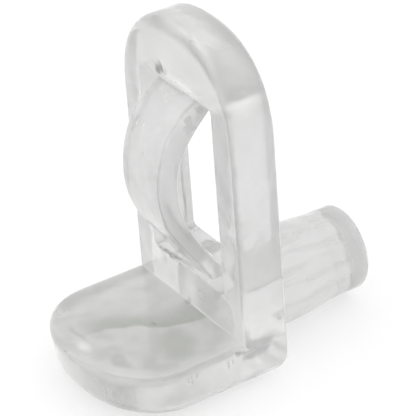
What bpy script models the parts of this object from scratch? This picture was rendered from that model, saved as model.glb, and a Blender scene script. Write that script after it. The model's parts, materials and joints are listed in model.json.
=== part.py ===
"""Clear moulded shelf support: a peg, an upright plate, a shelf rest and a bowed spring, in one piece.

The peg points along +Y into the cabinet wall and +Z is up. The origin is on the peg's axis, in the
plate's back face, where the mouth of the wall's hole lies. Every size is in metres.
"""
import math

import bmesh
import bpy
from mathutils.geometry import interpolate_bezier

# Peg: full at its root, easing down to its tip between two distances from the plate
PEG_RADIUS = 0.00232
PEG_ROOT_RADIUS = 0.00260
PEG_LENGTH = 0.00718
PEG_EASE_START = 0.0025
PEG_EASE_END = 0.0060
PEG_TIP_ROUND = 0.00028

# Shelf rest, its height counted from the peg's axis and its depth from the plate's front
REST_ABOVE_AXIS = 0.0003
REST_THICKNESS = 0.0025
REST_DEPTH = 0.00735
REST_CORNER_DEPTH = 0.0038
REST_EXPONENT = 2.2
REST_DRAFT = 0.00035
REST_TOP_ROUND = 0.00042
REST_BOTTOM_ROUND = 0.00095
HEEL_ROUND = 0.00155

# Upright plate, with the band of its arched head above the window. The rounds of its edges grow from the
# sides up to the crown.
PLATE_WIDTH = 0.01012
PLATE_THICKNESS = 0.00245
HEAD_BAND = 0.00328
ARCH_WIDTH = 0.00995
ARCH_RISE = 0.0051
ARCH_EXPONENT = 2.36
PLATE_FRONT_ROUND = 0.0003
PLATE_BACK_ROUND = 0.00015
CROWN_FRONT_ROUND = 0.00075
CROWN_BACK_ROUND = 0.0004

# Window through the plate, its heights counted from the rest's top face
WINDOW_WIDTH = 0.0065
WINDOW_SILL = 0.0021
WINDOW_SILL_RISE = 0.0002
WINDOW_TOP = 0.0126
WINDOW_CORNER = 0.0003

# Spring, thinnest at its crest. The crest's height counts from the rest's top face, depths count from the
# plate's front and slopes from upright. A bend is the share of a face's height that each end runs straight.
SPRING_WIDTH = 0.0034
SPRING_THICKNESS = 0.00115
SPRING_BULGE = 0.00233
SPRING_CREST = 0.0080
FRONT_TOP_DEPTH = 0.00075
FRONT_TOP_SLOPE = math.radians(76)
FRONT_TOP_BEND = (0.31, 0.57)
BACK_TOP_DEPTH = 0.00202
BACK_TOP_SLOPE = math.radians(47)
BACK_TOP_BEND = (0.43, 0.42)
FRONT_BOTTOM_DEPTH = 0.00033
FRONT_BOTTOM_SLOPE = math.radians(26)
BACK_BOTTOM_DEPTH = 0.00147
BACK_BOTTOM_SLOPE = math.radians(33)
BOTTOM_BEND = (0.45, 0.45)
SPRING_EDGE_ROUND = 0.00025

# How far one form reaches into the next before the two are joined, and the small step where two of them
# would otherwise lie flush: the plate's sides stand in by it, and so does the foot's back
OVERLAP = 0.0006
FLUSH_STEP = 0.00001

# Fineness of the round stretches
OUTLINE_STEPS = 40
SPRING_STEPS = 14
PEG_SIDES = 64
EASE_STEPS = 8
ROUND_STEPS = 4

REST_TOP = REST_ABOVE_AXIS
REST_BOTTOM = REST_TOP - REST_THICKNESS
PLATE_FRONT = -PLATE_THICKNESS
PLATE_SIDE = PLATE_WIDTH / 2


def clear_scene():
    for thing in list(bpy.data.objects):
        bpy.data.objects.remove(thing, do_unlink=True)


def new_collection(name):
    group = bpy.data.collections.new(name)
    bpy.context.scene.collection.children.link(group)
    return group


def add_object(name, shape, group):
    mesh = bpy.data.meshes.new(name)
    shape.to_mesh(mesh)
    shape.free()
    thing = bpy.data.objects.new(name, mesh)
    group.objects.link(thing)
    return thing


def as_form(thing):
    """A form that is joined to the plate or cut out of it, and isn't a piece by itself."""
    thing.hide_render = True
    thing.display_type = "WIRE"
    return thing


def half_superellipse(half_width, rise, exponent):
    """Points from +half_width over the top to -half_width, as pairs of across and up."""
    points = []
    for step in range(OUTLINE_STEPS + 1):
        turn = math.pi * step / OUTLINE_STEPS
        across = math.copysign(abs(math.cos(turn)) ** (2 / exponent), math.cos(turn))
        points.append((half_width * across, rise * abs(math.sin(turn)) ** (2 / exponent)))
    return points


def extruded(outline, travel):
    """A solid prism: the outline's face pushed along travel."""
    shape = bmesh.new()
    face = shape.faces.new([shape.verts.new(point) for point in outline])
    pushed = bmesh.ops.extrude_face_region(shape, geom=[face])
    corners = [item for item in pushed["geom"] if isinstance(item, bmesh.types.BMVert)]
    bmesh.ops.translate(shape, verts=corners, vec=travel)
    bmesh.ops.recalc_face_normals(shape, faces=shape.faces)
    return shape


def weigh_edges(shape, radii):
    """Gives each edge the first radius whose test it passes, as a share of the largest radius. A radius is
    a size, or a function of the edge's height."""
    weight = shape.edges.layers.float.new("bevel_weight_edge")
    sizes = {}
    for edge in shape.edges:
        ends = [corner.co for corner in edge.verts]
        for radius, test in radii:
            if all(test(end) for end in ends):
                sizes[edge] = radius((ends[0].z + ends[1].z) / 2) if callable(radius) else radius
                break
    largest = max(sizes.values())
    for edge, size in sizes.items():
        edge[weight] = size / largest
    return largest


def round_edges(thing, radius, steps):
    edge = thing.modifiers.new("edges", "BEVEL")
    edge.width = radius
    edge.segments = steps
    edge.limit_method = "WEIGHT"
    return thing


def near(value, target):
    return abs(value - target) < 1e-6


def make_foot(group):
    """Shelf rest and the plate's foot behind it: a flat block whose bowed front leans in downwards."""
    corner_line = PLATE_FRONT - REST_DEPTH + REST_CORNER_DEPTH
    front = half_superellipse(PLATE_SIDE, REST_CORNER_DEPTH, REST_EXPONENT)
    outline = [(PLATE_SIDE, -FLUSH_STEP)]
    outline += [(across, corner_line - out) for across, out in front]
    outline.append((-PLATE_SIDE, -FLUSH_STEP))
    shape = extruded([(x, y, REST_TOP) for x, y in outline], (0.0, 0.0, -REST_THICKNESS))
    largest = weigh_edges(shape, [
        (REST_TOP_ROUND, lambda end: near(end.z, REST_TOP)),
        (REST_BOTTOM_ROUND, lambda end: near(end.z, REST_BOTTOM)),
        (PLATE_BACK_ROUND, lambda end: near(end.y, -FLUSH_STEP)),
    ])
    for corner in shape.verts:
        ahead = (corner_line - corner.co.y) / REST_CORNER_DEPTH
        if near(corner.co.z, REST_BOTTOM) and ahead > 0:
            corner.co.y += REST_DRAFT * ahead
            corner.co.x *= 1 - REST_DRAFT / PLATE_SIDE * ahead
    return as_form(round_edges(add_object("foot_form", shape, group), largest, ROUND_STEPS))


def make_heel(group):
    """The stretch below and behind the round heel, to be cut off the foot."""
    radius = min(HEEL_ROUND, PLATE_THICKNESS - OVERLAP, REST_THICKNESS - OVERLAP)
    steps = 2 * ROUND_STEPS
    outline = []
    for step in range(steps + 1):
        turn = math.pi / 2 * step / steps
        outline.append((radius * (math.cos(turn) - 1), REST_BOTTOM + radius * (1 - math.sin(turn))))
    outline[0] = [2 * end - inner for end, inner in zip(outline[0], outline[1])]
    outline[-1] = [2 * end - inner for end, inner in zip(outline[-1], outline[-2])]
    outline.append((OVERLAP, REST_BOTTOM - OVERLAP))
    shape = extruded([(-PLATE_WIDTH, y, z) for y, z in outline], (2 * PLATE_WIDTH, 0.0, 0.0))
    return as_form(add_object("heel_cutter", shape, group))


def make_plate(group):
    """Upright plate: sides that lean in a little above the rest, and an arched head."""
    buried = REST_TOP - OVERLAP
    side = PLATE_SIDE - FLUSH_STEP
    arch_foot = REST_TOP + WINDOW_TOP + HEAD_BAND - ARCH_RISE
    arch = half_superellipse(ARCH_WIDTH / 2, ARCH_RISE, ARCH_EXPONENT)
    outline = [(-side, buried), (side, buried), (side, REST_TOP)]
    outline += [(across, arch_foot + up) for across, up in arch]
    outline.append((-side, REST_TOP))
    shape = extruded([(across, 0.0, up) for across, up in outline], (0.0, PLATE_FRONT, 0.0))

    def grown(low, high):
        """A round that grows from low on the sides to high at the crown."""
        return lambda height: low + (high - low) * min(1.0, max(0.0, (height - arch_foot) / ARCH_RISE)) ** 2

    radius = weigh_edges(shape, [
        (0.0, lambda end: near(end.z, buried)),
        (grown(PLATE_BACK_ROUND, CROWN_BACK_ROUND), lambda end: near(end.y, 0)),
        (grown(PLATE_FRONT_ROUND, CROWN_FRONT_ROUND), lambda end: near(end.y, PLATE_FRONT)),
    ])
    return round_edges(add_object("shelf_support", shape, group), radius, ROUND_STEPS)


def make_window(group):
    """The opening through the plate, as a block that is cut out of it, with a sill that climbs backwards."""
    shape = bmesh.new()
    bmesh.ops.create_cube(shape, size=1.0)
    sill = REST_TOP + WINDOW_SILL
    height = WINDOW_TOP - WINDOW_SILL
    bmesh.ops.scale(shape, verts=shape.verts, vec=(WINDOW_WIDTH, 3 * PLATE_THICKNESS, height))
    bmesh.ops.translate(shape, verts=shape.verts, vec=(0.0, PLATE_FRONT / 2, sill + height / 2))
    for corner in shape.verts:
        if near(corner.co.z, sill):
            corner.co.z += WINDOW_SILL_RISE * (corner.co.y - PLATE_FRONT) / PLATE_THICKNESS
    radius = weigh_edges(shape, [
        (WINDOW_CORNER, lambda end: end.x > 0 and end.z > sill + height / 2),
        (WINDOW_CORNER, lambda end: end.x < 0 and end.z > sill + height / 2),
        (WINDOW_CORNER, lambda end: end.x > 0 and end.z < sill + height / 2),
        (WINDOW_CORNER, lambda end: end.x < 0 and end.z < sill + height / 2),
    ])
    return as_form(round_edges(add_object("window_cutter", shape, group), radius, ROUND_STEPS))


def spring_line(crest_depth, height, depth, slope, bend):
    """One face of the spring from its crest to a root, and on into the window's wall, as depth and height."""
    crest = (PLATE_FRONT - crest_depth, REST_TOP + SPRING_CREST)
    root = (PLATE_FRONT + depth, REST_TOP + height)
    rise = root[1] - crest[1]
    way = math.copysign(1.0, rise)
    lean = (math.sin(slope), way * math.cos(slope))
    straight = abs(rise) * bend[1]
    line = interpolate_bezier(
        (0.0, crest[0], crest[1]),
        (0.0, crest[0], crest[1] + rise * bend[0]),
        (0.0, root[0] - straight * lean[0], root[1] - straight * lean[1]),
        (0.0, root[0], root[1]), SPRING_STEPS)
    return [(point.y, point.z) for point in line] + [(root[0], root[1] + way * OVERLAP)]


def make_spring(group):
    """Spring: a strip that bows out in front of the window and grows thicker towards its roots."""
    inner = SPRING_BULGE - SPRING_THICKNESS
    front_top = spring_line(SPRING_BULGE, WINDOW_TOP, FRONT_TOP_DEPTH, FRONT_TOP_SLOPE, FRONT_TOP_BEND)
    back_top = spring_line(inner, WINDOW_TOP, BACK_TOP_DEPTH, BACK_TOP_SLOPE, BACK_TOP_BEND)
    front_bottom = spring_line(SPRING_BULGE, WINDOW_SILL, FRONT_BOTTOM_DEPTH, FRONT_BOTTOM_SLOPE, BOTTOM_BEND)
    back_bottom = spring_line(inner, WINDOW_SILL, BACK_BOTTOM_DEPTH, BACK_BOTTOM_SLOPE, BOTTOM_BEND)
    outline = front_bottom[::-1] + front_top[1:] + back_top[::-1] + back_bottom[1:]
    side = SPRING_WIDTH / 2
    shape = extruded([(-side, y, z) for y, z in outline], (SPRING_WIDTH, 0.0, 0.0))
    radius = weigh_edges(shape, [
        (SPRING_EDGE_ROUND, lambda end: near(end.x, side)),
        (SPRING_EDGE_ROUND, lambda end: near(end.x, -side)),
    ])
    return as_form(round_edges(add_object("spring_form", shape, group), radius, 3))


def peg_profile():
    """The peg's outline as pairs of radius and distance along it, from its tip to its root in the body."""
    round_radius = min(PEG_TIP_ROUND, PEG_RADIUS / 2)
    profile = [(0.0, PEG_LENGTH)]
    for step in range(ROUND_STEPS + 1):
        turn = math.pi / 2 * step / ROUND_STEPS
        profile.append((PEG_RADIUS - round_radius * (1 - math.sin(turn)),
                        PEG_LENGTH - round_radius * (1 - math.cos(turn))))
    for step in range(EASE_STEPS + 1):
        share = step / EASE_STEPS
        fuller = (1 - math.cos(math.pi * share)) / 2
        profile.append((PEG_RADIUS + (PEG_ROOT_RADIUS - PEG_RADIUS) * fuller,
                        PEG_EASE_END + (PEG_EASE_START - PEG_EASE_END) * share))
    buried = PLATE_THICKNESS - OVERLAP / 2
    buried_radius = min(PEG_ROOT_RADIUS, -REST_BOTTOM - OVERLAP / 2)
    return profile + [(PEG_ROOT_RADIUS, -OVERLAP / 2), (buried_radius, -buried), (0.0, -buried)]


def make_peg(group):
    """Peg: a turned profile laid along +Y, whose root runs out as a cone under the heel."""
    shape = bmesh.new()
    corners = [shape.verts.new((across, 0.0, along)) for across, along in peg_profile()]
    for pair in zip(corners, corners[1:]):
        shape.edges.new(pair)
    thing = as_form(add_object("peg_form", shape, group))
    thing.rotation_euler = (-math.pi / 2, 0.0, 0.0)
    turned = thing.modifiers.new("turned", "SCREW")
    turned.axis = "Z"
    turned.steps = PEG_SIDES
    turned.render_steps = PEG_SIDES
    turned.use_merge_vertices = True
    turned.merge_threshold = 1e-6
    return thing


def combine(body, form, operation):
    step = body.modifiers.new(form.name, "BOOLEAN")
    step.operation = operation
    step.solver = "EXACT"
    step.object = form


def clear_plastic():
    """Clear polycarbonate with a smooth moulded skin."""
    finish = bpy.data.materials.new("clear_polycarbonate")
    finish.use_nodes = True
    surface = finish.node_tree.nodes["Principled BSDF"]
    surface.inputs["Base Color"].default_value = (0.80, 0.81, 0.80, 1.0)
    surface.inputs["Roughness"].default_value = 0.12
    surface.inputs["Metallic"].default_value = 0.0
    surface.inputs["IOR"].default_value = 1.585
    surface.inputs["Transmission Weight"].default_value = 0.85
    finish.diffuse_color = (0.80, 0.81, 0.80, 0.6)
    return finish


def build():
    clear_scene()
    parts = new_collection("shelf_support_peg")
    forms = new_collection("forms")
    support = make_plate(parts)
    combine(support, make_window(forms), "DIFFERENCE")
    combine(support, make_foot(forms), "UNION")
    combine(support, make_heel(forms), "DIFFERENCE")
    combine(support, make_spring(forms), "UNION")
    combine(support, make_peg(forms), "UNION")
    support.data.shade_smooth()
    support.data.set_sharp_from_angle(angle=math.radians(30))
    support.data.materials.append(clear_plastic())


build()
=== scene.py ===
import json
import math

import bmesh
import bpy
from mathutils.geometry import interpolate_bezier
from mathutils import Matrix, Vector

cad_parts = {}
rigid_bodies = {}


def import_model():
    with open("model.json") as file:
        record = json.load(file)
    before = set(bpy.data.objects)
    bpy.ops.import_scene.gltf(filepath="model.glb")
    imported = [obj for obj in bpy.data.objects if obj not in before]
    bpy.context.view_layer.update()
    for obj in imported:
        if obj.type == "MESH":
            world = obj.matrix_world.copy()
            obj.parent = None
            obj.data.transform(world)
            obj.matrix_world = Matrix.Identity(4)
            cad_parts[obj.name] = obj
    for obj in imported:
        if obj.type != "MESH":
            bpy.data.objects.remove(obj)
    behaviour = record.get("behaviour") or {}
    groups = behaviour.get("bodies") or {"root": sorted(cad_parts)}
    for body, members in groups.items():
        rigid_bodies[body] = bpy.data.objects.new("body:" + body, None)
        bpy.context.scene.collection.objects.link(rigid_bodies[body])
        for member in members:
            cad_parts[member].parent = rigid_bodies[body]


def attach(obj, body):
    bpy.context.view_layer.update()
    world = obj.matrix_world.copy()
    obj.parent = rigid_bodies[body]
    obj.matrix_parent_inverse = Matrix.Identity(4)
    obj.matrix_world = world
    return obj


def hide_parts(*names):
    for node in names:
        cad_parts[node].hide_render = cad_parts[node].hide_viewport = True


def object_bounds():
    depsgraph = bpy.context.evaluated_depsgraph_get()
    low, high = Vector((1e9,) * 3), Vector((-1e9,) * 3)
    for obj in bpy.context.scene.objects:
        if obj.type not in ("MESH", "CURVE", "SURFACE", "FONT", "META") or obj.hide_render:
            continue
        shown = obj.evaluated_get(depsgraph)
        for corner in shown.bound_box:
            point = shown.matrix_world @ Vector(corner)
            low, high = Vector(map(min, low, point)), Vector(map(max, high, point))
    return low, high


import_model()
cad_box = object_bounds()

# Plate: the upright of the support, with an arched head. It stands flat on the cabinet's side. The whole
# support is one moulding in clear polycarbonate, so every outer edge has a small round.
rest_top = 0.0003
plate_front = -0.00245
plate_side = 0.00506
crown = 0.01618
arch_half = 0.004975
arch_rise = 0.0051
arch_power = 2.36
arc_steps = 144
back_round = (0.00015, 0.0004)
front_round = (0.0003, 0.00075)
# The forms reach into each other by the overlap, and a small step keeps their faces from lying flush.
overlap = 0.0006
flush_step = 0.00001

forms = bpy.data.collections.new("forms")
bpy.context.scene.collection.children.link(forms)


def place(name, shape, group=forms):
    """Puts a shape into the scene as an object."""
    mesh = bpy.data.meshes.new(name)
    shape.to_mesh(mesh)
    shape.free()
    thing = bpy.data.objects.new(name, mesh)
    group.objects.link(thing)
    thing.hide_render = True
    return thing


def push(outline, travel):
    """A prism: a flat outline extruded along travel."""
    shape = bmesh.new()
    face = shape.faces.new([shape.verts.new(point) for point in outline])
    pushed = bmesh.ops.extrude_face_region(shape, geom=[face])
    corners = [item for item in pushed["geom"] if isinstance(item, bmesh.types.BMVert)]
    bmesh.ops.translate(shape, verts=corners, vec=travel)
    bmesh.ops.recalc_face_normals(shape, faces=shape.faces)
    return shape


def bow(half, rise, power):
    """A squarish half round, from +half over its top to -half."""
    points = []
    for step in range(arc_steps + 1):
        turn = math.pi * step / arc_steps
        across = math.copysign(abs(math.cos(turn)) ** (2 / power), math.cos(turn))
        points.append((half * across, rise * abs(math.sin(turn)) ** (2 / power)))
    return points


def near(value, target):
    """Says whether a coordinate lies on the plane at target."""
    return abs(value - target) < 1e-6


def round_off(thing, radii, segments):
    """Rounds each edge by the first radius whose test both its ends pass. A radius is a size, or a
    function of the edge's height."""
    shape = bmesh.new()
    shape.from_mesh(thing.data)
    weight = shape.edges.layers.float.new("bevel_weight_edge")
    rounds = {}
    for edge in shape.edges:
        ends = [end.co for end in edge.verts]
        for radius, test in radii:
            if all(test(end) for end in ends):
                rounds[edge] = radius((ends[0].z + ends[1].z) / 2) if callable(radius) else radius
                break
    largest = max(rounds.values())
    for edge, radius in rounds.items():
        edge[weight] = radius / largest
    shape.to_mesh(thing.data)
    shape.free()
    rounding = thing.modifiers.new("rounding", "BEVEL")
    rounding.limit_method = "WEIGHT"
    rounding.width = largest
    rounding.segments = segments
    return thing


arch_foot = crown - arch_rise
side = plate_side - flush_step
outline = [(-side, rest_top - overlap), (side, rest_top - overlap), (side, rest_top)]
outline += [(across, arch_foot + up) for across, up in bow(arch_half, arch_rise, arch_power)]
outline.append((-side, rest_top))
moulding = place("moulding", push([(x, 0.0, z) for x, z in outline], (0.0, plate_front, 0.0)))


def grown(low, high):
    """A round that grows from low on the plate's sides to high at its crown."""
    return lambda height: low + (high - low) * min(1.0, max(0.0, (height - arch_foot) / arch_rise)) ** 2


round_off(moulding, [
    (0.0, lambda end: near(end.z, rest_top - overlap)),
    (grown(*back_round), lambda end: near(end.y, 0.0)),
    (grown(*front_round), lambda end: near(end.y, plate_front)),
], 8)

# Rest: the flat foot that the shelf lies on, moulded in one with the plate. It bows forward, its wall has a
# little draft, and its heel, the lower edge at the back, is well rounded.
rest_bottom = -0.0022
rest_front = -0.0098
rest_corner = 0.0038
rest_power = 2.2
rest_draft = 0.00035
rim_round = 0.00042
underside_round = 0.00095
rest_back_round = 0.00015
heel_round = 0.00155
heel_steps = 24
corner_line = rest_front + rest_corner
outline = [(plate_side, -flush_step)]
outline += [(across, corner_line - out) for across, out in bow(plate_side, rest_corner, rest_power)]
outline.append((-plate_side, -flush_step))
foot = place("foot", push([(x, y, rest_top) for x, y in outline], (0.0, 0.0, rest_bottom - rest_top)))
round_off(foot, [
    (rim_round, lambda end: near(end.z, rest_top)),
    (underside_round, lambda end: near(end.z, rest_bottom)),
    (rest_back_round, lambda end: near(end.y, -flush_step)),
], 12)
for vertex in foot.data.vertices:
    ahead = (corner_line - vertex.co.y) / rest_corner
    if near(vertex.co.z, rest_bottom) and ahead > 0:
        vertex.co.y += rest_draft * ahead
        vertex.co.x *= 1 - rest_draft / plate_side * ahead

# The heel's cutter is the corner outside a quarter round, which goes a little further at both ends.
outline = []
for step in range(heel_steps + 1):
    turn = math.pi / 2 * step / heel_steps
    outline.append((heel_round * (math.cos(turn) - 1), rest_bottom + heel_round * (1 - math.sin(turn))))
outline[0] = [2 * end - inner for end, inner in zip(outline[0], outline[1])]
outline[-1] = [2 * end - inner for end, inner in zip(outline[-1], outline[-2])]
outline.append((overlap, rest_bottom - overlap))
heel = place("heel", push([(-0.01, y, z) for y, z in outline], (0.02, 0.0, 0.0)))

# Window: the opening that the mould's core leaves behind the spring. Its sill climbs a little backwards
# and its four corners have a small radius.
sill = 0.0024
sill_climb = 0.0002
window_top = 0.0129
window_width = 0.0065
corner_round = 0.0003
shape = bmesh.new()
bmesh.ops.create_cube(shape, size=1.0)
bmesh.ops.scale(shape, verts=shape.verts, vec=(window_width, -3 * plate_front, window_top - sill))
bmesh.ops.translate(shape, verts=shape.verts, vec=(0.0, plate_front / 2, (sill + window_top) / 2))
for vertex in shape.verts:
    if near(vertex.co.z, sill):
        vertex.co.z += sill_climb * (vertex.co.y - plate_front) / -plate_front
window = place("window", shape)
middle = (sill + window_top) / 2
round_off(window, [
    (corner_round, lambda end, x=x, z=z: x * end.x > 0 and z * (end.z - middle) > 0)
    for z in (1, -1) for x in (1, -1)
], 8)

# Spring: a thin strip of the same plastic that bows out in front of the window and presses on the shelf's
# edge. It is thinnest at its crest and grows thicker towards the window's top and sill.
spring_half = 0.0017
spring_front = plate_front - 0.00233
spring_wall = 0.00115
spring_crest = rest_top + 0.0080
spring_round = 0.00025
spring_fillet = 0.00025
line_steps = 60


def spring_face(crest, root, slope, bend, swell):
    """One face from the spring's crest to a root, and on into the window's wall. It meets the wall at a
    slope. The bend says how far its curve keeps each end's direction, as shares of its rise, and it swells
    out by a fillet near the wall."""
    rise = root[1] - crest[1]
    way = math.copysign(1.0, rise)
    straight = abs(rise) * bend[1]
    line = interpolate_bezier(
        (0.0, crest[0], crest[1]), (0.0, crest[0], crest[1] + rise * bend[0]),
        (0.0, root[0] - straight * math.sin(slope), root[1] - way * straight * math.cos(slope)),
        (0.0, root[0], root[1]), line_steps)
    points = []
    for point in line:
        near_wall = max(0.0, spring_fillet - abs(root[1] - point.z))
        fillet = spring_fillet - math.sqrt(spring_fillet ** 2 - near_wall ** 2)
        points.append((point.y + swell * fillet, point.z))
    points.append((points[-1][0], root[1] + way * overlap))
    return points


front = (spring_front, spring_crest)
back = (spring_front + spring_wall, spring_crest)
front_top = spring_face(front, (plate_front + 0.00075, window_top), math.radians(76), (0.31, 0.57), 0)
back_top = spring_face(back, (plate_front + 0.00202, window_top), math.radians(47), (0.43, 0.42), 0)
front_foot = spring_face(front, (plate_front + 0.00033, sill), math.radians(26), (0.45, 0.45), -1)
back_foot = spring_face(back, (plate_front + 0.00147, sill), math.radians(33), (0.45, 0.45), 1)
outline = front_foot[::-1] + front_top[1:] + back_top[::-1] + back_foot[1:]
spring = place("spring", push([(-spring_half, y, z) for y, z in outline], (2 * spring_half, 0.0, 0.0)))
round_off(spring, [
    (spring_round, lambda end: near(end.x, spring_half)),
    (spring_round, lambda end: near(end.x, -spring_half)),
], 6)

# Peg: a round pin that goes into the cabinet's hole. It is fuller at its root, eases down to its tip and
# ends in a flat face with a small round.
peg_radius = 0.00232
root_radius = 0.0026
peg_length = 0.00718
tip_round = 0.00028
tip_steps = 8
ease_start = 0.0060
ease_length = 0.0035
ease_steps = 32
core_radius = 0.0019
core_end = -0.00215
peg_sides = 192
shape = bmesh.new()
profile = [(0.0, peg_length)]
for step in range(tip_steps + 1):
    turn = math.pi / 2 * step / tip_steps
    inwards = tip_round * (1 - math.sin(turn))
    profile.append((peg_radius - inwards, peg_length - tip_round * (1 - math.cos(turn))))
for step in range(ease_steps + 1):
    fuller = (1 - math.cos(math.pi * step / ease_steps)) / 2
    across = peg_radius + (root_radius - peg_radius) * fuller
    profile.append((across, ease_start - ease_length * step / ease_steps))
profile += [(root_radius, -overlap / 2), (core_radius, core_end), (0.0, core_end)]
corners = [shape.verts.new((across, along, 0.0)) for across, along in profile]
edges = [shape.edges.new(pair) for pair in zip(corners, corners[1:])]
bmesh.ops.spin(shape, geom=corners + edges, cent=(0.0, 0.0, 0.0), axis=(0.0, 1.0, 0.0),
               angle=2 * math.pi, steps=peg_sides, use_merge=True)
bmesh.ops.remove_doubles(shape, verts=shape.verts, dist=1e-7)
bmesh.ops.recalc_face_normals(shape, faces=shape.faces)
peg = place("peg", shape)

# Moulding: all these forms are one piece of plastic. The window and the heel's corner are cut out, the rest,
# spring and peg are joined on, and only the finished mesh stays in the scene.
for form, operation in (
    (window, "DIFFERENCE"), (foot, "UNION"), (heel, "DIFFERENCE"),
    (spring, "UNION"), (peg, "UNION"),
):
    join = moulding.modifiers.new(form.name, "BOOLEAN")
    join.operation = operation
    join.solver = "EXACT"
    join.object = form
bpy.context.view_layer.update()
whole = bpy.data.meshes.new_from_object(moulding.evaluated_get(bpy.context.evaluated_depsgraph_get()))
for thing in list(forms.objects):
    bpy.data.objects.remove(thing, do_unlink=True)
bpy.data.collections.remove(forms)
support = bpy.data.objects.new("clear_moulding", whole)
bpy.context.scene.collection.objects.link(support)
whole.shade_smooth()
whole.set_sharp_from_angle(angle=math.radians(32))
flats = support.modifiers.new("flats", "WEIGHTED_NORMAL")
flats.keep_sharp = True
flats.weight = 100

# Plastic: clear polycarbonate, faintly cloudy and wavy, with small dark marks, and with painted shade and
# painted highlights in its colour. Each pattern follows the place on the part, and the helpers take a number
# or a node's output.
plastic = bpy.data.materials.new("clear_polycarbonate")
plastic.use_nodes = True
nodes = plastic.node_tree.nodes
links = plastic.node_tree.links
surface = nodes["Principled BSDF"]
surface.inputs["IOR"].default_value = 1.585
surface.inputs["Transmission Weight"].default_value = 0.7
surface.inputs["Coat Weight"].default_value = 0.4
surface.inputs["Coat Roughness"].default_value = 0.08
spot = nodes.new("ShaderNodeTexCoord").outputs["Object"]
axes = nodes.new("ShaderNodeSeparateXYZ")
links.new(spot, axes.inputs[0])
across, along, up = axes.outputs


def feed(socket, value):
    """Sets a socket to a fixed value, or links a node's output to it."""
    if isinstance(value, bpy.types.NodeSocket):
        links.new(value, socket)
    else:
        socket.default_value = value


def maths(operation, first, second):
    """One step of arithmetic on two values."""
    step = nodes.new("ShaderNodeMath")
    step.operation = operation
    feed(step.inputs[0], first)
    feed(step.inputs[1], second)
    return step.outputs[0]


def soft_step(value, low, high, start=0.0, end=1.0):
    """Goes smoothly from start at low to end at high."""
    step = nodes.new("ShaderNodeMapRange")
    step.interpolation_type = "SMOOTHSTEP"
    feed(step.inputs["Value"], value)
    for name, size in (("From Min", low), ("From Max", high), ("To Min", start), ("To Max", end)):
        step.inputs[name].default_value = size
    return step.outputs["Result"]


def grain(scale, stretch=(1.0, 1.0, 1.0), detail=2.0):
    """Cloudy noise, with the scale in cells per metre and a stretch along each axis."""
    spread = nodes.new("ShaderNodeMapping")
    spread.inputs["Scale"].default_value = stretch
    links.new(spot, spread.inputs["Vector"])
    cloud = nodes.new("ShaderNodeTexNoise")
    cloud.inputs["Scale"].default_value = scale
    cloud.inputs["Detail"].default_value = detail
    links.new(spread.outputs[0], cloud.inputs["Vector"])
    return cloud.outputs["Fac"]


def tint(amount, first, second):
    """Mixes two colours."""
    step = nodes.new("ShaderNodeMix")
    step.data_type = "RGBA"
    feed(step.inputs["Factor"], amount)
    feed(step.inputs["A"], first)
    feed(step.inputs["B"], second)
    return step.outputs["Result"]


def patch(centre, reach, strength, away=spot):
    """An oval patch that fades out towards its rim. Its centre and its reach on each axis are in
    millimetres."""
    for operation, size in (("SUBTRACT", centre), ("DIVIDE", reach)):
        step = nodes.new("ShaderNodeVectorMath")
        step.operation = operation
        links.new(away, step.inputs[0])
        step.inputs[1].default_value = [value / 1000 for value in size]
        away = step.outputs[0]
    step = nodes.new("ShaderNodeVectorMath")
    step.operation = "LENGTH"
    links.new(away, step.inputs[0])
    return soft_step(step.outputs["Value"], 1.0, 0.3, 0.0, strength)


# The whole part is a cloudy near-white, paler towards the foot. It is greyer towards the head, which is
# painted shade that tones down the light the arch catches.
cloud = soft_step(grain(700, detail=3.0), 0.3, 0.7)
colour = tint(cloud, (0.88, 0.88, 0.88, 1.0), (0.83, 0.832, 0.825, 1.0))
colour = tint(soft_step(up, 0.0105, 0.0155, 0.0, 0.7), colour, (0.75, 0.753, 0.74, 1.0))
colour = tint(soft_step(up, 0.0065, 0.0, 0.0, 0.8), colour, (0.95, 0.95, 0.945, 1.0))

# The peg has faint lines drawn along it, and a darker ring near its end.
on_peg = soft_step(along, 0.0002, 0.0008)
streaks = soft_step(grain(2200, (1.0, 0.1, 1.0), 3.0), 0.4, 0.65, 0.2, 0.7)
ring = maths("MULTIPLY", soft_step(along, 0.0058, 0.0062), soft_step(along, 0.0072, 0.0066, 0.0, 0.9))
streaks = maths("MAXIMUM", maths("MAXIMUM", streaks, ring), 0.35)
colour = tint(maths("MULTIPLY", on_peg, streaks), colour, (0.68, 0.68, 0.675, 1.0))

# The rest's top face is darker and olive: partly the plastic's own tint, partly painted shade for the shaded
# floor seen through it. A wavy painted shadow runs across it, beside rounder patches of painted shade. Noise
# sways their place by up to sway_reach, on average by half of it.
sway_reach = 0.0020
on_rest = maths("MULTIPLY", soft_step(along, -0.00245, -0.00255), soft_step(up, -0.0001, 0.00025))
on_rest = maths("MULTIPLY", on_rest, soft_step(up, 0.0015, 0.0008))
sway = nodes.new("ShaderNodeTexNoise")
sway.inputs["Scale"].default_value = 600
links.new(spot, sway.inputs["Vector"])
swayed = nodes.new("ShaderNodeVectorMath")
swayed.operation = "MULTIPLY_ADD"
links.new(sway.outputs["Color"], swayed.inputs[0])
swayed.inputs[1].default_value = (sway_reach, sway_reach, 0.0)
links.new(spot, swayed.inputs[2])
swayed = swayed.outputs[0]
bend = maths("MULTIPLY", maths("SUBTRACT", sway.outputs["Fac"], 0.5), 0.0015)
beside = maths("SUBTRACT", maths("ADD", across, bend), soft_step(along, -0.0076, -0.0036, -0.0008, 0.0014))
shade = maths("MULTIPLY", soft_step(beside, -0.0026, -0.0002), soft_step(beside, 0.00012, -0.00012))
shade = maths("MULTIPLY", shade, soft_step(along, -0.0088, -0.0072))
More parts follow.
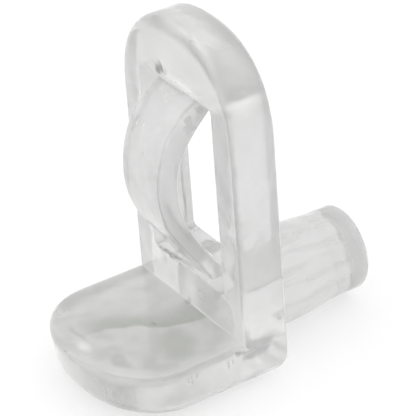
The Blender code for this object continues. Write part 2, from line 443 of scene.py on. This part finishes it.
for centre, reach, strength in (
    ((2.6, -5.1, 0.3), (2.0, 1.6, 1.0), 0.65),
    ((2.1, -8.0, 0.2), (1.1, 0.5, 1.0), 0.7),
    ((-1.2, -8.6, 0.2), (1.2, 0.4, 1.0), 0.6),
):
    half_sway = 1000 * sway_reach / 2
    moved = (centre[0] + half_sway, centre[1] + half_sway, centre[2])
    shade = maths("MAXIMUM", shade, patch(moved, reach, strength, swayed))
shade = maths("MAXIMUM", shade, soft_step(grain(900, detail=4.0), 0.4, 0.7, 0.0, 0.45))
rest_shade_colour = tint(shade, (0.68, 0.685, 0.665, 1.0), (0.40, 0.41, 0.37, 1.0))

# The painted shade fades out towards the rim.
out_x = maths("POWER", maths("DIVIDE", maths("ABSOLUTE", across, 0.0), plate_side), rest_power)
out_y = maths("DIVIDE", maths("SUBTRACT", corner_line, along), rest_corner)
out_y = maths("POWER", maths("MAXIMUM", out_y, 0.0), rest_power)
on_rest = maths("MULTIPLY", on_rest, soft_step(maths("ADD", out_x, out_y), 0.98, 0.5, 0.35, 1.0))
colour = tint(on_rest, colour, rest_shade_colour)

# The rest's wall is a little darker than its rim, more so towards positive x, in cloudy patches.
on_wall = maths("MULTIPLY", soft_step(along, -0.0024, -0.0034), soft_step(up, 0.0003, -0.0003))
on_wall = maths("MULTIPLY", on_wall, soft_step(across, 0.0, 0.004, 0.05, 0.3))
on_wall = maths("MULTIPLY", on_wall, soft_step(grain(600, detail=3.0), 0.3, 0.65, 0.25, 1.0))
colour = tint(on_wall, colour, (0.66, 0.67, 0.65, 1.0))

# Faint dark upright lines round the rest's corner, and short dark dashes under its top edge.
lines = soft_step(grain(9000, (1.0, 1.0, 0.04), 1.0), 0.45, 0.65)
lines = maths("MULTIPLY", lines, patch((2.8, -8.8, -0.6), (2.6, 1.6, 1.1), 0.2))
colour = tint(lines, colour, (0.62, 0.63, 0.64, 1.0))
for dash_y, dash_z, height in (
    (-5.95, -0.15, 0.3), (-5.74, -0.22, 0.4), (-5.44, -0.1, 0.2), (-3.58, -0.25, 0.42), (-3.34, -0.16, 0.3),
):
    dash = patch((5.0, dash_y, dash_z), (0.4, 0.085, height), 0.25)
    colour = tint(dash, colour, (0.25, 0.26, 0.27, 1.0))

# Small marks: dark patches with frayed rims, some of them painted shade, and smooth bright ones, which are
# painted highlights and painted light. Noise frays a rim by up to fray_reach, on average by half of it.
fray_reach = 0.0007
ragged = nodes.new("ShaderNodeTexNoise")
ragged.inputs["Scale"].default_value = 2600
links.new(spot, ragged.inputs["Vector"])
frayed = nodes.new("ShaderNodeVectorMath")
frayed.operation = "MULTIPLY_ADD"
links.new(ragged.outputs["Color"], frayed.inputs[0])
frayed.inputs[1].default_value = (fray_reach, fray_reach, fray_reach)
links.new(spot, frayed.inputs[2])
frayed = frayed.outputs[0]
for centre, reach, strength in (
    ((0.3, -4.95, 0.3), (0.16, 0.16, 0.3), 1.0),
    ((-1.4, -2.5, 13.3), (0.4, 0.5, 0.35), 1.0),
    ((-1.1, -2.5, 13.55), (0.2, 0.5, 0.4), 1.0),
    ((1.6, -2.8, 11.6), (0.5, 0.4, 0.7), 0.22),
    ((1.7, -2.1, 12.2), (0.3, 0.3, 0.3), 0.3),
    ((-4.1, -1.2, 14.7), (0.5, 0.8, 0.4), 0.5),
    ((-0.6, -1.2, 16.2), (3.0, 1.8, 1.4), 0.22),
    # painted shade: a dark line along the sill's front edge
    ((-1.9, -2.45, 2.42), (1.5, 0.3, 0.22), 0.9),
    ((4.9, -2.9, 0.0), (0.35, 0.3, 0.3), 0.7),
    ((1.5, -3.6, 5.3), (0.25, 0.3, 0.2), 0.7),
    # painted shade beside the painted highlights on the plate's foot
    ((-0.2, -2.5, 0.3), (0.35, 0.3, 0.45), 0.5),
):
    moved = [value + 1000 * fray_reach / 2 for value in centre]
    colour = tint(patch(moved, reach, strength, frayed), colour, (0.18, 0.18, 0.175, 1.0))
# Painted highlights and painted light: the spring's top root, the plate's right side face, the rest's front
# rim and the plate's foot.
for centre, reach in (
    ((0.8, -2.45, 13.15), (2.2, 0.4, 0.28)),
    ((4.9, -1.5, 13.6), (0.8, 1.4, 0.9)),
    ((-3.6, -8.2, 0.0), (0.9, 0.8, 0.7)),
    ((-0.1, -8.8, 0.1), (0.9, 0.5, 0.5)),
    ((0.5, -2.5, 1.3), (1.3, 0.3, 0.5)),
):
    colour = tint(patch(centre, reach, 1.0), colour, (1.0, 1.0, 0.99, 1.0))
links.new(colour, surface.inputs["Base Color"])

# The gloss is softest on the head and on the rest's top.
rough = soft_step(grain(900, detail=3.0), 0.3, 0.7, 0.0, 0.05)
rough = maths("ADD", rough, soft_step(up, 0.003, 0.0125, 0.13, 0.21))
rough = maths("MINIMUM", maths("ADD", rough, maths("MULTIPLY", on_rest, 0.15)), 0.26)
links.new(rough, surface.inputs["Roughness"])

# Soft waves, calmer on the head and below the rest's rim
waves = nodes.new("ShaderNodeBump")
swing = maths("MULTIPLY", soft_step(up, -0.0004, 0.0006, 0.3, 1.0), soft_step(up, 0.0110, 0.0135, 1.0, 0.55))
links.new(swing, waves.inputs["Strength"])
waves.inputs["Distance"].default_value = 0.00014
links.new(grain(800, detail=1.5), waves.inputs["Height"])
links.new(waves.outputs[0], surface.inputs["Normal"])

# Lamps shine through the plastic almost unhindered, so its shadow stays light.
clear = nodes.new("ShaderNodeBsdfTransparent")
clear.inputs["Color"].default_value = (0.92, 0.92, 0.92, 1.0)
lamp_rays = nodes.new("ShaderNodeLightPath")
let_through = nodes.new("ShaderNodeMixShader")
links.new(lamp_rays.outputs["Is Shadow Ray"], let_through.inputs[0])
links.new(surface.outputs[0], let_through.inputs[1])
links.new(clear.outputs[0], let_through.inputs[2])
links.new(let_through.outputs[0], nodes["Material Output"].inputs["Surface"])
whole.materials.clear()
whole.materials.append(plastic)
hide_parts("shelf_support")
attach(support, "root")

# Floor: a plain pale sheet that runs out of view on all sides. It is white to the camera and in the
# plastic, and keeps the soft shadow.
floor_gap = 0.00002
shape = bmesh.new()
bmesh.ops.create_grid(shape, x_segments=1, y_segments=1, size=2.0)
bmesh.ops.translate(shape, verts=shape.verts, vec=(0.0, 0.0, cad_box[0].z - floor_gap))
floor = place("floor", shape, bpy.context.scene.collection)
floor.hide_render = False
paper = bpy.data.materials.new("pale_paper")
paper.use_nodes = True
nodes = paper.node_tree.nodes
links = paper.node_tree.links
nodes.remove(nodes["Principled BSDF"])
matt = nodes.new("ShaderNodeBsdfDiffuse")
matt.inputs["Color"].default_value = (0.68, 0.68, 0.68, 1.0)
glow = nodes.new("ShaderNodeEmission")
glow.inputs["Strength"].default_value = 0.32
dark = nodes.new("ShaderNodeMixShader")
both = nodes.new("ShaderNodeAddShader")


def seen_rays():
    """1 for the camera's rays and for those that the plastic reflects or lets through, and else 0."""
    rays = nodes.new("ShaderNodeLightPath")
    seen = maths("MAXIMUM", rays.outputs["Is Camera Ray"], rays.outputs["Is Glossy Ray"])
    return maths("MAXIMUM", seen, rays.outputs["Is Transmission Ray"])


links.new(seen_rays(), dark.inputs[0])
links.new(glow.outputs[0], dark.inputs[2])
links.new(matt.outputs[0], both.inputs[0])
links.new(dark.outputs[0], both.inputs[1])
links.new(both.outputs[0], nodes["Material Output"].inputs["Surface"])
floor.data.materials.append(paper)

# Studio: an even pale room, and two large soft lamps, one high on the left and one high behind.
world = bpy.data.worlds.new("pale_room")
bpy.context.scene.world = world
world.use_nodes = True
nodes = world.node_tree.nodes
links = world.node_tree.links
room = nodes["Background"]
room.inputs["Color"].default_value = (1.0, 1.0, 1.0, 1.0)
room.inputs["Strength"].default_value = 0.9
white = nodes.new("ShaderNodeBackground")
white.inputs["Color"].default_value = (1.0, 1.0, 1.0, 1.0)
white.inputs["Strength"].default_value = 1.0
pick = nodes.new("ShaderNodeMixShader")
links.new(seen_rays(), pick.inputs[0])
links.new(room.outputs[0], pick.inputs[1])
links.new(white.outputs[0], pick.inputs[2])
links.new(pick.outputs[0], nodes["World Output"].inputs["Surface"])
for name, place_at, turn, size, power in (
    ("left_lamp", (-0.10, -0.25, 0.30), (40, -20, 0), 0.40, 0.45),
    ("back_lamp", (0.15, 0.30, 0.35), (-40, 20, 0), 0.45, 0.15),
):
    lamp = bpy.data.lights.new(name, "AREA")
    lamp.size = size
    lamp.energy = power
    holder = bpy.data.objects.new(name, lamp)
    holder.location = place_at
    holder.rotation_euler = [math.radians(angle) for angle in turn]
    bpy.context.scene.collection.objects.link(holder)

# Camera: close by, above the near corner of the rest, with a long lens.
camera = bpy.data.objects.new("camera", bpy.data.cameras.new("camera"))
bpy.context.scene.collection.objects.link(camera)
camera.location = (0.087767, -0.053719, 0.066750)
camera.rotation_euler = (math.radians(59.0145), math.radians(3.7788), math.radians(56.7589))
camera.data.lens = 205.55
camera.data.sensor_width = 36.0
camera.data.clip_start = 0.01
bpy.context.scene.camera = camera
bpy.context.scene.view_settings.view_transform = "Standard"
